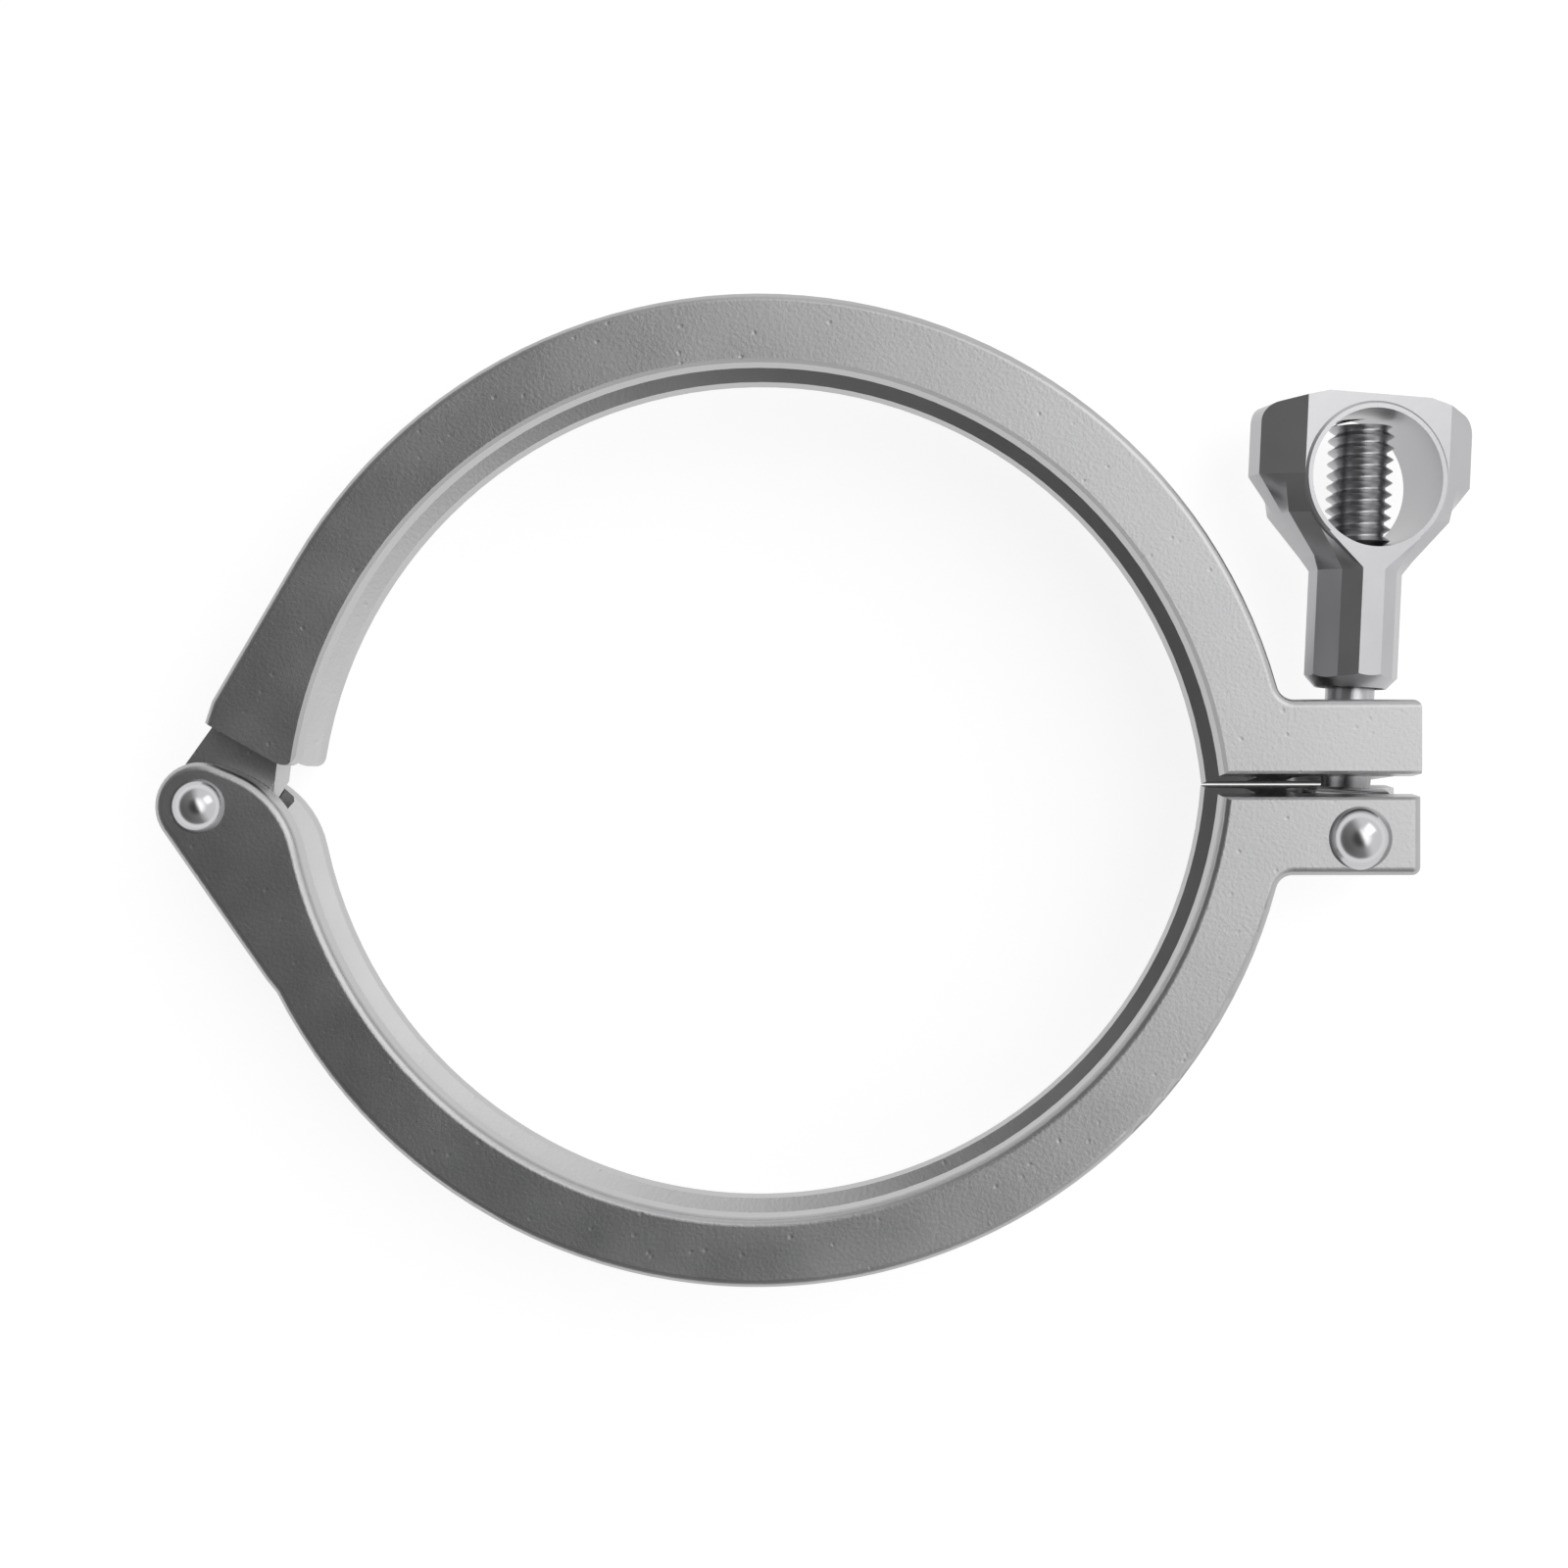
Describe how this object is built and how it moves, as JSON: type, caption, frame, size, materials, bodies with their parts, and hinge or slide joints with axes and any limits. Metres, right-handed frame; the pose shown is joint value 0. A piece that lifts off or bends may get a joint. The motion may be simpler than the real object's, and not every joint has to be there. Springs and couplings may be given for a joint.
{
  "type": "sanitary hinged clamp",
  "caption": "Sanitary hinged clamp: two cast half rings with an inner V groove on a riveted hinge, closed by a swing bolt and a wing nut with a round window.",
  "frame": {"origin": "on the axis of the ferrule seat in the lower half, at the middle of the ring's width", "axes": "+X from the hinge to the swing bolt, +Y from the lower half to the upper half, +Z along the pipe's axis, out of the ring's side face"},
  "size_m": [0.1583, 0.1175, 0.024],
  "materials": {
    "cast_steel": "bead-blasted cast stainless steel, satin",
    "pin_steel": "bright riveted stainless steel",
    "bolt_steel": "turned stainless steel with a rolled thread",
    "nut_steel": "tumbled cast stainless steel, smooth"
  },
  "bodies": {
    "lower": {"lower_half": "cast_steel", "hinge_pin": "pin_steel", "bolt_pin": "pin_steel"},
    "upper": {"upper_half": "cast_steel"},
    "bolt": {"eye_bolt": "bolt_steel"},
    "nut": {"wing_nut": "nut_steel"}
  },
  "joints": [
    {"name": "bolt_swing", "type": "hinge", "parent": "lower", "child": "bolt", "pos_m": [0.07125, -0.0105, 0], "axis": [0, 0, -1], "range_deg": [-3, 175]},
    {"name": "nut_travel", "type": "slide", "parent": "bolt", "child": "nut", "axis": [0.0454, 0.999, 0], "range_m": [0, 0.028]},
    {"name": "hinge", "type": "hinge", "parent": "lower", "child": "upper", "pos_m": [-0.0659, -0.00675, 0], "axis": [0, 0, 1], "range_deg": [0, 120]}
  ],
  "couplings": [
    {"joint": "hinge", "follows": "nut_travel", "rad_per_m": 7.2}
  ]
}
